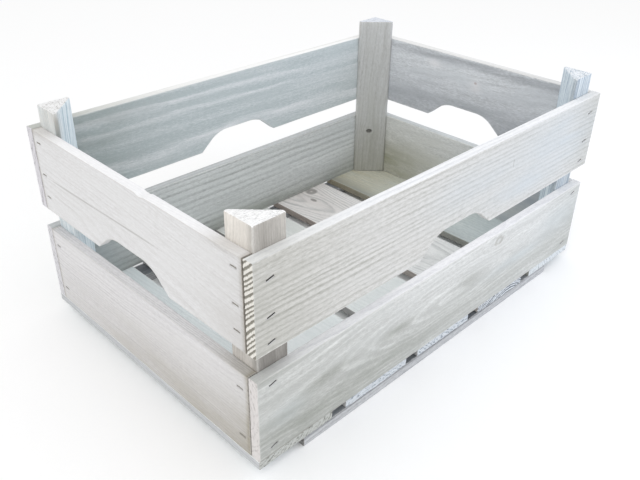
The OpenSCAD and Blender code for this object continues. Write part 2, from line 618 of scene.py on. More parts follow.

        # Lime that lies thin in patches, hides the grain in some places and is gone from others; the last
        # two also lay painted shade on some pieces
        drawn = add("VectorMath", {0: place, 1: self.SMEARS}, operation="MULTIPLY")
        wash = add("TexNoise", {"Vector": drawn, "Scale": 1 / self.LIME, "Detail": 4.0, "Roughness": 0.6})
        thin = add("MapRange", {0: wash, 1: 0.42, 2: 0.66, 4: timber.tint_share}, **EASED)
        base = add("Mix", {0: thin, 6: wood, 7: linear(timber.tint)}, 2, **COLOURS)
        thick = add("Attribute", {}, "Fac", attribute_name="thick")
        smear = add("MapRange", {0: wash, 1: 0.3, 2: 0.7, 3: 1.3, 4: 0.6})
        thick_lime_and_shade_share = add("Math", {0: thick, 1: smear}, operation="MULTIPLY", use_clamp=True)
        limed = add("Mix", {0: thick_lime_and_shade_share, 6: base, 7: linear(timber.thick)}, 2, **COLOURS)
        bare = add("Attribute", {}, "Fac", attribute_name="bare")
        uneven = add("MapRange", {0: wash, 1: 0.25, 2: 0.7, 3: 0.6, 4: 1.2})
        stain_and_shade_mix = add("Math", {0: bare, 1: uneven}, operation="MULTIPLY", use_clamp=True)
        stain_and_shade_colour = linear(timber.bare)
        stained_and_shaded = add("Mix", {0: stain_and_shade_mix, 6: limed, 7: stain_and_shade_colour}, 2, blend_type="MULTIPLY", **COLOURS)

        # Arrises rubbed pale, then the dark rings of knots, shakes, scratches and lines of painted shade
        rim = add("Attribute", {}, "Fac", attribute_name="rim")
        broken = add("Math", {0: nap, 1: 4.0, 2: rim}, operation="MULTIPLY_ADD")
        rub = add("MapRange", {0: broken, 1: 2.0, 2: 4.4, 3: 0.4, 4: 0.0}, **EASED)
        rubbed = add("Mix", {0: rub, 6: stained_and_shaded, 7: linear(timber.worn)}, 2, **COLOURS)
        knot = add("Attribute", {}, "Fac", attribute_name="knot")
        ragged = add("Math", {0: nap, 1: 0.6, 2: knot}, operation="MULTIPLY_ADD")
        heart = add("MapRange", {0: ragged, 1: 1.05, 2: 1.6, 3: 0.6, 4: 0.0}, **EASED)
        knotted = add("Mix", {0: heart, 6: rubbed, 7: linear(timber.knot)}, 2, **COLOURS)
        mark = add("Attribute", {}, "Fac", attribute_name="mark")
        broken_mark = add("Math", {0: nap, 1: 1.2, 2: mark}, operation="MULTIPLY_ADD")
        line = add("MapRange", {0: broken_mark, 1: 0.6, 2: 2.8, 3: 0.55, 4: 0.0}, **EASED)
        colour = add("Mix", {0: line, 6: knotted, 7: linear(timber.mark)}, 2, **COLOURS)

        wool = add("Math", {0: fibre, 1: nap}, operation="ADD")
        height = add("Math", {0: late, 1: -0.5, 2: wool}, operation="MULTIPLY_ADD")
        roughness = add("MapRange", {0: fibre, 1: 0.2, 2: 0.8, 3: 0.72, 4: 0.92})
        return sheet.close(colour, roughness, height, timber.relief, Specular_IOR_Level=0.25)

    def make_edge(self) -> Material:
        """Limed softwood on a narrow sawn edge: thick wash, fainter lines, fibres combed by the saw.

        Returns:
            the material
        """
        timber = self.timber
        sheet = Sheet(f"limed_softwood_{timber.name}_edge")
        add = sheet.add
        place = add("Attribute", {}, "Vector", attribute_name="log")
        late = self.late_wood(sheet, place)
        fibre = self.fibres(sheet, place)
        nap = self.nap(sheet, place)
        tone = self.grain(sheet, place, late, fibre, nap)
        base = add("Mix", {0: tone, 6: linear(timber.edge_pale), 7: linear(timber.edge_dark)}, 2, **COLOURS)
        # Stains where lime is gone, which on some pieces are painted shade
        bare = add("Attribute", {}, "Fac", attribute_name="bare")
        colour = add("Mix", {0: bare, 6: base, 7: linear(timber.bare)}, 2, blend_type="MULTIPLY", **COLOURS)
        height = add("Math", {0: fibre, 1: nap}, operation="ADD")
        roughness = add("MapRange", {0: fibre, 1: 0.2, 2: 0.8, 3: 0.75, 4: 0.92})
        return sheet.close(colour, roughness, height, timber.relief, Specular_IOR_Level=0.25)

    def make_end(self) -> Material:
        """Limed softwood, cross-cut with a coarse saw: torn end grain, with dark furrows.

        Returns:
            the material
        """
        timber = self.timber
        sheet = Sheet(f"limed_softwood_{timber.name}_end")
        add = sheet.add
        place = add("Attribute", {}, "Vector", attribute_name="log")
        late = self.late_wood(sheet, place)
        pores = add("TexNoise", {"Vector": place, "Scale": 1 / self.PORE, "Detail": 3.0, "Roughness": 0.7})
        drawn = add("VectorMath", {0: place, 1: self.TORN}, operation="MULTIPLY")
        torn = add("TexNoise", {"Vector": drawn, "Scale": 1 / self.TEAR, "Detail": 4.0, "Roughness": 0.65})
        tear = add("MapRange", {0: torn, 3: -0.5 * timber.end_tear, 4: 0.5 * timber.end_tear})
        furrow = add("Math", {0: late, 1: timber.end_ring, 2: tear}, operation="MULTIPLY_ADD")
        share = add("MapRange", {0: furrow, 1: 0.0, 2: 0.6}, **EASED)
        base = add("Mix", {0: share, 6: linear(timber.end_pale), 7: linear(timber.end_dark)}, 2, **COLOURS)
        speck = add("MapRange", {0: pores, 1: 0.55, 2: 0.75, 4: 0.35}, **EASED)
        colour = add("Mix", {0: speck, 6: base, 7: linear(timber.end_dark)}, 2, **COLOURS)
        rough = add("Math", {0: torn, 1: pores}, operation="ADD")
        height = add("Math", {0: late, 1: -0.8 * timber.end_ring, 2: rough}, operation="MULTIPLY_ADD")
        roughness = add("MapRange", {0: torn, 1: 0.2, 2: 0.8, 3: 0.8, 4: 0.95})
        return sheet.close(colour, roughness, height, self.END_RELIEF, Specular_IOR_Level=0.2)


@dataclass(frozen=True)
class HandHold:
    """A hand-hold cut into a board's lower edge: a trapezium with round upper corners, in mm."""

    width: float = 134.0
    height: float = 25.0
    slope: float = math.radians(40)
    radius: float = 45.0

    def rise(self, along: float) -> float:
        """Height of the cut edge above the board's lower edge.

        Args:
            along: place along the board, from its middle

        Returns:
            the height, 0 beside the hand-hold
        """
        away = abs(along)
        half = self.width / 2
        tangent = self.radius * math.tan(self.slope / 2)
        corner = half - self.height / math.tan(self.slope)
        top = corner - tangent
        side = corner + tangent * math.cos(self.slope)
        if away >= half:
            return 0.0
        if away >= side:
            return (half - away) * math.tan(self.slope)
        if away <= top:
            return self.height
        return self.height - self.radius + math.sqrt(self.radius ** 2 - (away - top) ** 2)


@dataclass(frozen=True)
class Staple:
    """A sunk staple's place on a piece's staple face, in mm, and the turn of its crown."""

    along: float
    across: float
    turn: float = 0.0


@dataclass(frozen=True)
class Dent:
    """A knock or chip in an arris: a hollow of some depth and reach, in mm, towards the piece's middle."""

    along: float
    across: float
    depth: float
    reach: float


@dataclass
class SawnPiece:
    """A piece of wood that stands for one CAD node. Its own frame is grain, width and thickness, in mm.

    Attributes:
        node: the CAD node
        timber: its wood
        cut: its place in the log
        slot: its material slot in the record; not used
        grain: direction of its length
        face: direction of its staple face
        arris: width of its eased edges
        ridge: depth of the furrows in its cut ends
        trim: how much shorter than its node it is sawn, at each end
        staples: sunk staples
        dents: knocks in its arrises
        half: half its length, width and thickness
        middle: its middle in the world, in metres
    """

    node: str
    timber: Timber
    cut: Cut
    slot: Slot
    grain: tuple[int, int, int]
    face: tuple[int, int, int]
    arris: float = 0.9
    ridge: float = 0.35
    trim: float = 0.0
    staples: tuple[Staple, ...] = ()
    dents: tuple[Dent, ...] = ()
    half: Vector = field(init=False)
    middle: Vector = field(init=False)

    # Slot that a staple's crown lies in, and how far round it the face is cut up
    SLOT_LENGTH = 9.6
    SLOT_WIDTH = 2.8
    SLOT_DEPTH = 1.8
    SLOT_REACH = 12.0

    # How squarely a facet looks along an axis to be part of the staple face, an edge or a cut end
    FACE_SQUARE = 0.9
    EDGE_SQUARE = 0.8
    END_SQUARE = 0.3

    # Slow and fine unevenness of the faces: lengths along, across and into the wood, and heights
    SLOW_WAVES = (110, 55, 55)
    FINE_WAVES = (18, 7, 7)
    SLOW_HEIGHT = 0.3
    FINE_HEIGHT = 0.1

    # Sizes of the tears in a cut end, and a dent's length over its reach and the size of its splinters
    TEARS = (2.6, 7)
    DENT_STRETCH = 1.8
    SPLINTER = 3

    def __post_init__(self) -> None:
        """Takes the piece's size and place from its node's box."""
        low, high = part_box(self.node)
        size = (high - low) / MM
        self.half = Vector([abs(size.dot(axis)) / 2 for axis in self.axes()])
        self.half.x -= self.trim
        self.middle = (low + high) / 2

    def axes(self) -> tuple[Vector, Vector, Vector]:
        """World directions of the piece's own axes.

        Returns:
            directions of grain, width and thickness
        """
        grain = Vector(self.grain)
        face = Vector(self.face)
        return grain, face.cross(grain), face

    def place(self) -> Matrix:
        """Turns and scales the piece's own frame into the world."""
        turn = Matrix([axis * MM for axis in self.axes()]).transposed().to_4x4()
        return Matrix.Translation(self.middle) @ turn

    def blank(self, bm: BMesh) -> None:
        """Makes the clean piece with eased arrises."""
        raise NotImplementedError

    def walls(self, spot: Vector) -> list[float]:
        """Depths of a spot under the piece's flat sides."""
        return [half - abs(value) for half, value in zip(self.half, spot)]

    def round_off(self, bm: BMesh, edges: list[BMEdge], width: float, segments: int) -> None:
        """Rounds some edges.

        Args:
            bm: the piece's mesh
            edges: the edges
            width: width of the rounding
            segments: number of its facets
        """
        bmesh.ops.bevel(bm, geom=edges, offset=width, offset_type="OFFSET", segments=segments, profile=0.5,
                        affect="EDGES", material=-1, clamp_overlap=True)

    def ease(self, bm: BMesh) -> None:
        """Rounds the arrises.

        Args:
            bm: the piece's mesh
        """
        bmesh.ops.recalc_face_normals(bm, faces=bm.faces[:])
        sharp = [edge for edge in bm.edges if edge.calc_face_angle(0.0) > SHARP]
        self.round_off(bm, sharp, self.arris, 2)

    def sink(self, bm: BMesh, staple: Staple) -> None:
        """Cuts a staple's slot into the staple face.

        Args:
            bm: the piece's mesh
            staple: the staple
        """
        middle = Vector((staple.along, staple.across, self.half.z))
        ahead = Vector((math.cos(staple.turn), math.sin(staple.turn), 0))
        aside = Vector((-ahead.y, ahead.x, 0))
        spans = ((ahead, self.SLOT_LENGTH / 2), (aside, self.SLOT_WIDTH / 2))
        faces = [face for face in bm.faces if face.normal.z > self.FACE_SQUARE
                 and (face.calc_center_median() - middle).length < self.SLOT_REACH]
        geom = faces + list({e for f in faces for e in f.edges}) + list({v for f in faces for v in f.verts})
        for way, reach in spans:
            for end in (-reach, reach):
                spot = middle + way * end
                geom = bmesh.ops.bisect_plane(bm, geom=geom, dist=TOUCH, plane_co=spot, plane_no=way)["geom"]
        floor = []
        for item in geom:
            if isinstance(item, BMFace):
                gap = item.calc_center_median() - middle
                if all(abs(gap.dot(way)) < reach for way, reach in spans):
                    floor.append(item)
        moved = bmesh.ops.extrude_face_region(bm, geom=floor)["geom"]
        points = [item for item in moved if isinstance(item, BMVert)]
        bmesh.ops.translate(bm, vec=(0, 0, -self.SLOT_DEPTH), verts=points)
        bmesh.ops.delete(bm, geom=[f for f in floor if f.is_valid], context="FACES_ONLY")

    def mark(self, bm: BMesh) -> None:
        """Writes the wood's figure on the points, and parts the cut ends from the faces.

        Args:
            bm: the piece's mesh
        """
        log = bm.verts.layers.float_vector.new("log")
        knot = bm.verts.layers.float.new("knot")
        rim = bm.verts.layers.float.new("rim")
        mark = bm.verts.layers.float.new("mark")
        # The bare and thick layers carry painted shade as well as lime and stains
        bare = bm.verts.layers.float.new("bare")
        thick = bm.verts.layers.float.new("thick")
        for vert in bm.verts:
            vert[thick] = self.cut.thickness(vert.co)
            vert[bare] = self.cut.stain_and_shade_at(vert.co)
            vert[log], vert[knot], vert[mark] = self.cut.figure(vert.co)
            vert[rim] = sorted(self.walls(vert.co))[1]
        for face in bm.faces:
            face.smooth = True
            inward = self.half.x - abs(face.calc_center_median().x)
            if abs(face.normal.x) > self.END_SQUARE and inward < 2 * self.arris:
                face.material_index = Surface.END.value
            elif self.is_edge(face.normal):
                face.material_index = Surface.EDGE.value

    def is_edge(self, normal: Vector) -> bool:
        """Whether a face with this normal is one of the piece's narrow edges."""
        return abs(normal.y) > self.EDGE_SQUARE

    def waver(self, spot: Vector, waves: tuple[float, float, float]) -> Vector:
        """Unevenness at a spot, in waves of some length along each axis."""
        turns = Vector([value / wave for value, wave in zip(spot, waves)])
        return noise.noise_vector(turns + self.cut.offset)

    def age(self, bm: BMesh) -> None:
        """Makes the faces a little uneven, furrows the cut ends and knocks the arrises.

        Args:
            bm: the piece's mesh
        """
        log = bm.verts.layers.float_vector["log"]
        knot = bm.verts.layers.float["knot"]
        pit = max((knot.pit for knot in self.cut.knots), default=0.0)
        offset = self.cut.offset
        for vert in bm.verts:
            spot = vert.co.copy()
            slow = self.waver(spot, self.SLOW_WAVES)
            fine = self.waver(spot, self.FINE_WAVES)
            vert.co += self.SLOW_HEIGHT * slow + self.FINE_HEIGHT * fine
            inward = self.half.x - abs(spot.x)
            if inward < self.arris:
                radius = math.hypot(vert[log].y, vert[log].z)
                torn = sum(abs(noise.noise(spot / size + offset)) for size in self.TEARS)
                depth = self.ridge * (self.timber.end_ring * self.timber.late(radius) + torn)
                vert.co.x -= math.copysign(depth * (1 - inward / self.arris), spot.x)
            if vert[knot] < 1.0:
                vert.co -= vert.normal * (pit * smooth(1.0, 0.7, vert[knot]))
            for dent in self.dents:
                ahead = (spot.x - dent.along) / self.DENT_STRETCH
                gap = math.hypot(ahead, spot.y - dent.across) / dent.reach
                rough = 0.75 + 0.5 * noise.noise(spot / self.SPLINTER + offset)
                depth = dent.depth * rough * (1 - smooth(0.25, 1.0, gap))
                vert.co.y -= math.copysign(depth, dent.across)

    def build(self, woods: dict[str, WoodMaterials]) -> Object:
        """Builds and dresses the piece.

        Args:
            woods: materials of each timber by its name

        Returns:
            the finished object, riding on the crate
        """
        bm = bmesh.new()
        self.blank(bm)
        for staple in self.staples:
            self.sink(bm, staple)
        bmesh.ops.recalc_face_normals(bm, faces=bm.faces[:])
        self.mark(bm)
        self.age(bm)
        bm.transform(self.place())
        bmesh.ops.recalc_face_normals(bm, faces=bm.faces[:])
        mesh = bpy.data.meshes.new(self.node + "_wood")
        bm.to_mesh(mesh)
        bm.free()
        for surface in Surface:
            mesh.materials.append(woods[self.timber.name].made[surface])
        piece = bpy.data.objects.new(self.node + "_wood", mesh)
        bpy.context.scene.collection.objects.link(piece)
        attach(piece, BODY)
        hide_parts(self.node)
        return piece


@dataclass
class Plank(SawnPiece):
    """A straight board, slat or lath, which may have a hand-hold in one edge.

    Attributes:
        hand_hold: the hand-hold
        cup: hollow of its width, towards the staple face
        twist: rise of one edge over the other
    """

    hand_hold: HandHold | None = None
    cup: float = 0.0
    twist: float = 0.0

    # Reach of the finer mesh round a knot and a dent, in their radii, and round a steep mark, in mm, and the
    # turn from the grain at which a mark is steep
    KNOT_REACH = 3
    DENT_REACH = 2
    MARK_REACH = 6
    STEEP = 0.5

    def stations(self) -> list[float]:
        """Places of the mesh's lines along the grain, closer at a hand-hold, knots, dents and marks.

        Returns:
            the places from end to end, in mm
        """
        spans = [(0.0, self.half.x, STEP_ALONG)]
        if self.hand_hold:
            spans.append((0.0, self.hand_hold.width / 2, STEP_FINE))
        spans += [(knot.along, self.KNOT_REACH * knot.radius, STEP_FINE) for knot in self.cut.knots]
        spans += [(dent.along, self.DENT_REACH * dent.reach, STEP_FINE) for dent in self.dents]
        steep = [mark for mark in self.cut.marks if abs(mark.turn) > self.STEEP]
        spans += [(mark.along, self.MARK_REACH, STEP_FINE / 2) for mark in steep]
        kept: list[float] = []
        for middle, reach, step in reversed(spans):
            low = middle - reach
            high = middle + reach
            count = math.ceil((high - low) / step)
            for i in range(count + 1):
                spot = low + (high - low) * i / count
                if abs(spot) <= self.half.x and all(abs(spot - other) > 0.5 * step for other in kept):
                    kept.append(spot)
        end = self.half.x
        inner = [spot for spot in kept if end - abs(spot) > END_STRIP]
        return sorted(inner + [-end, end, END_STRIP - end, end - END_STRIP])

    def blank(self, bm: BMesh) -> None:
        """Makes the clean plank from a grid, drawn out to its thickness.

        Args:
            bm: the piece's mesh
        """
        half = self.half
        columns = self.stations()
        count = max(4, round(2 * half.y / STEP_ACROSS))
        rows = [-half.y + 2 * half.y * i / count for i in range(count + 1)]
        bmesh.ops.create_grid(bm, x_segments=len(columns) - 1, y_segments=count, size=1.0)
        for vert in bm.verts:
            along = columns[round((vert.co.x + 1) / 2 * (len(columns) - 1))]
            across = rows[round((vert.co.y + 1) / 2 * count)]
            if self.hand_hold:
                across += self.hand_hold.rise(along) * (half.y - across) / (2 * half.y)
            vert.co = (along, across, -half.z)
        drawn = bmesh.ops.extrude_face_region(bm, geom=bm.faces[:])["geom"]
        lifted = [item for item in drawn if isinstance(item, BMVert)]
        bmesh.ops.translate(bm, vec=(0, 0, 2 * half.z), verts=lifted)
        self.ease(bm)
        upright = [e for e in bm.edges if abs(e.verts[0].co.z - e.verts[1].co.z) > half.z]
        cuts = max(2, round(2 * half.z / STEP_ACROSS)) - 1
        bmesh.ops.subdivide_edges(bm, edges=upright, cuts=cuts, use_grid_fill=True)

    def walls(self, spot: Vector) -> list[float]:
        """Depths of a spot under the plank's sides, with the hand-hold's edge among them.

        Args:
            spot: the spot in the piece's own frame

        Returns:
            the depths, in mm
        """
        depths = super().walls(spot)
        if self.hand_hold and spot.y < 0:
            depths[1] = spot.y + self.half.y - self.hand_hold.rise(spot.x)
        return depths

    def age(self, bm: BMesh) -> None:
        """Ages the plank as any piece, then cups and twists it.

        Args:
            bm: the piece's mesh
        """
        super().age(bm)
        for vert in bm.verts:
            across = vert.co.y / self.half.y
            vert.co.z += self.cup * (across * across - 0.5) + self.twist * across * vert.co.x / self.half.x


@dataclass
class CornerPost(SawnPiece):
    """A three-cornered post, its square corner in the crate's corner and its sharp edges blunted, in mm.

    Attributes:
        leg: width of its two square sides
        flat: width of a blunted edge
        crown: rounding of the rims of its cut ends
    """

    leg: float = 38.0
    flat: float = 4.0
    crown: float = 1.8

    # Step of the finer mesh lines at a knot, and their numbers from its middle
    KNOT_STEP = 0.9
    KNOT_LINES = range(-5, 6)

    def outline(self) -> list[tuple[float, float]]:
        """Corners of its section, from the middle of its box.

        Returns:
            places across the post and into it, the square corner first
        """
        low = -self.leg / 2
        high = self.leg / 2
        return [(low, low), (high, low), (high, low + self.flat), (low + self.flat, high), (low, high)]

    def blank(self, bm: BMesh) -> None:
        """Makes the clean post from its section, drawn up to its height and cut into short facets.

        Args:
            bm: the piece's mesh
        """
        half = self.half
        corners = [bm.verts.new((-half.x, across, depth)) for across, depth in self.outline()]
        section = bm.faces.new(corners)
        drawn = bmesh.ops.extrude_face_region(bm, geom=[section])["geom"]
        lifted = [item for item in drawn if isinstance(item, BMVert)]
        bmesh.ops.translate(bm, vec=(2 * half.x, 0, 0), verts=lifted)
        self.ease(bm)
        along = [knot.along for knot in self.cut.knots]
        across = [knot.across for knot in self.cut.knots]
        plan = ((STEP_ALONG, along), (STEP_ACROSS, across), (STEP_ACROSS, []))
        for axis, (step, knots) in enumerate(plan):
            normal = Vector([float(i == axis) for i in range(3)])
            count = round(2 * half[axis] / step)
            levels = [-half[axis] + 2 * half[axis] * i / count for i in range(1, count)]
            levels += [knot + self.KNOT_STEP * line for knot in knots for line in self.KNOT_LINES]
            for level in levels:
                spot = normal * level
                geom = bm.verts[:] + bm.edges[:] + bm.faces[:]
                bmesh.ops.bisect_plane(bm, geom=geom, dist=TOUCH, plane_co=spot, plane_no=normal)

    def ease(self, bm: BMesh) -> None:
        """Rounds the rims of the cut ends, then the long arrises.

        Args:
            bm: the piece's mesh
        """
        rims = [edge for edge in bm.edges if abs(edge.verts[0].co.x - edge.verts[1].co.x) < self.half.x]
        self.round_off(bm, rims, self.crown, 3)
        super().ease(bm)

    def is_edge(self, normal: Vector) -> bool:
        """A post has no narrow edges."""
        return False

    def walls(self, spot: Vector) -> list[float]:
        """Depths of a spot under the post's sides and ends.

        Args:
            spot: the spot in the piece's own frame

        Returns:
            the depths, in mm
        """
        low = -self.leg / 2
        slant = (self.flat - (spot.y - low) - (spot.z - low) + self.leg) / math.sqrt(2)
        return [self.half.x - abs(spot.x), spot.y - low, spot.z - low, slant]


# Woods of the crate: all limed spruce or pine, each log with its own growth and wash
# On the front boards, bare is also painted shade towards their ends and along the lower board's near corner
# and lower edge
FRONT_UPPER = Timber(
    "front_upper", pale="dddcda", dark="aeaea8", tint="d6d6d5", bare="cfcec4", thick="c9d1d7",
    edge_pale="f5f6f8", edge_dark="dadce0", end_pale="ece9e2", end_dark="8d8a80", end_tear=1.2, end_ring=0.9,
    faintest=0.75, ring=4.4, soft=0.8, contrast=0.46, streak=0.3, nap=1.7, tint_share=0.3)
FRONT_LOWER = Timber(
    "front_lower", pale="c9cac8", dark="f0f1f0", tint="d6d8d7", bare="adafa7", thick="d2d9dc", knot="a9a7a0",
    edge_pale="f8f8fa", edge_dark="dadade", end_pale="dedad8", end_dark="b9b5b2", end_tear=1.6,
    ring=5.4, soft=1.0, contrast=0.5, fibre=0.7, streak=1.1, nap=1.8)
# The left boards' cut ends are dark, grime and painted shade in the joints; the lower board's edges are
# darker, dirt and painted shade in the slot
LEFT_UPPER = Timber(
    "left_upper", pale="e3e3e4", dark="c4c2c0", tint="dddddd", bare="a89f90", worn="cfccc6",
    edge_pale="f4f4f5", edge_dark="dedee0", end_pale="938e86", end_dark="6f6a63",
    soft=0.6, contrast=0.25, fibre=0.4, streak=0.4, tint_share=0.5, relief=0.2)
LEFT_LOWER = Timber(
    "left_lower", pale="e1e0e1", dark="bebcbd", tint="dbdada", bare="bab4a2", worn="c8c5be",
    edge_pale="dcdbdc", edge_dark="b0afb0", end_pale="b5b1aa", end_dark="8f8b85",
    soft=0.6, fibre=0.4, streak=0.4, nap=1.3, tint_share=0.5, relief=0.2)
# On the back boards, bare and thick paint shade towards the upper board's end and along the lower one's foot
# and inner corner
BACK_UPPER = Timber(
    "back_upper", pale="bfc9cb", dark="f2f4f7", tint="ccd4d6", bare="c8cac6",
    end_pale="dad8dc", end_dark="a8a7ac", end_tear=1.6,
    ring=10.0, soft=1.0, contrast=0.6, fibre=0.6, streak=0.8, nap=1.4)
BACK_LOWER = Timber(
    "back_lower", pale="dfe2e1", dark="9c9f9e", tint="ccd0cf", bare="c2c3bc", thick="a4aeb0",
    edge_pale="c9cccd", edge_dark="a6a9aa", end_pale="dad9dc", end_dark="a2a1a6", end_tear=1.6,
    ring=6.5, soft=1.0, contrast=0.5, streak=0.7, nap=1.4)
# On the right boards, bare paints the upper board's shade, and the lower one's thick colour is a grey that
# paints shade into its corner
RIGHT_UPPER = Timber(
    "right_upper", pale="edf0f4", dark="aeb1b4", tint="d8dce0", bare="b4b5b8", thick="f6f4f6", knot="b09e9b",
    ring=6.0, soft=1.0, contrast=0.2, fibre=0.4, streak=0.8, nap=1.6, tint_share=0.6, relief=0.2)
RIGHT_LOWER = Timber(
    "right_lower", pale="e8e9e7", dark="aeafab", tint="d6d7d3", bare="bcbaa4", thick="aeb4bb",
    edge_pale="d6dadb", edge_dark="a9adad",
    ring=6.0, soft=1.0, contrast=0.2, fibre=0.4, nap=1.6, tint_share=0.6, relief=0.2)
# On the posts, bare paints shade on the near and right posts' front faces and in the slot, grime with shade
# at the back post's foot, and a tan on the left post
POST_NEAR = Timber(
    "post_near", pale="ebe6df", dark="c3bfb8", tint="e0dad2", bare="a7a7a7",
    end_pale="fefefe", end_dark="d6d6d6", end_tear=2.2, fibre=0.6)
POST_RIGHT = Timber(
    "post_right", pale="edf7fd", dark="90a5bb", tint="d6e2ea", bare="d2d0ce",
    end_pale="f2f6fa", end_dark="a9b8c6", end_tear=2.6, contrast=0.6, fibre=1.2, streak=1.5, nap=1.0)
POST_LEFT = Timber(
    "post_left", pale="f2fbff", dark="b0c4d0", tint="dde8ee", bare="e6dbd2",
    end_pale="f4f4f4", end_dark="c2c0bd", end_tear=2.4, contrast=0.6, fibre=1.2, streak=1.5, nap=1.0)
POST_BACK = Timber(
    "post_back", pale="cfd0d0", dark="a6a6a2", tint="c7c8c6", bare="c6c4b4", knot="3b362d",
    end_pale="e3e7ee", end_dark="bcc2cc", end_tear=2.2, contrast=0.3, streak=0.5, nap=1.3)
# Bare paints shade over the back halves of the third and fourth slats; the olive slat's thick colour is a
# grey that paints shade along one edge
SLAT = Timber(
    "slat", pale="f7fbfc", dark="dfe6e7", tint="f0f6f6", bare="e4e1dc",
    edge_pale="c8c8c7", edge_dark="a2a1a1", end_pale="d8dde2", end_dark="828d98", end_tear=2.6,
    ring=4.5, contrast=0.35, fibre=0.45, tint_share=0.5)
SLAT_GREY = Timber(
    "slat_grey", pale="f5fafb", dark="d6dedf", tint="ebf2f3",
    edge_pale="c9cbcd", edge_dark="a6a8aa", end_pale="c5c7c3", end_dark="7a7b74", end_tear=2.4,
    ring=4.5, contrast=0.35, fibre=0.45, tint_share=0.5)
SLAT_KNOTTY = Timber(
    "slat_knotty", pale="fbfdfd", dark="c8cbcb", tint="f0f3f4", bare="efe8e5", knot="57514a",
    edge_pale="c0bab4", edge_dark="a09994", end_pale="dfe4e9", end_dark="787e85", end_tear=0.8, end_ring=1.1,
    ring=3.4, contrast=0.7)
SLAT_OLIVE = Timber(
    "slat_olive", pale="dfe6e6", dark="aebabc", tint="cdd8da", bare="f8ead2", thick="a3aaab", worn="bcbfb9",
    edge_pale="b0b2ac", edge_dark="888a84", end_pale="dce1e4", end_dark="a9b0b4", end_tear=2.2,
    ring=5.5, soft=1.0, contrast=0.2, fibre=0.35, streak=0.5, nap=1.8, tint_share=0.5)
# The lath's bare colour is a dark grey that paints shade on its top, and its cut ends are dark as painted
# shade under the slats
LATH = Timber(
    "lath", pale="d2d5d7", dark="9a9fa1", tint="bcc2c6", bare="83858a",
    edge_pale="c8c9cb", edge_dark="989a9d", end_pale="8e8d8b", end_dark="5c5b5a",
    ring=4.0, fibre=0.45, nap=1.8, tint_share=0.5)
WOODS = (FRONT_UPPER, FRONT_LOWER, LEFT_UPPER, LEFT_LOWER, BACK_UPPER, BACK_LOWER, RIGHT_UPPER, RIGHT_LOWER,
         POST_NEAR, POST_RIGHT, POST_LEFT, POST_BACK, SLAT, SLAT_GREY, SLAT_KNOTTY, SLAT_OLIVE, LATH)


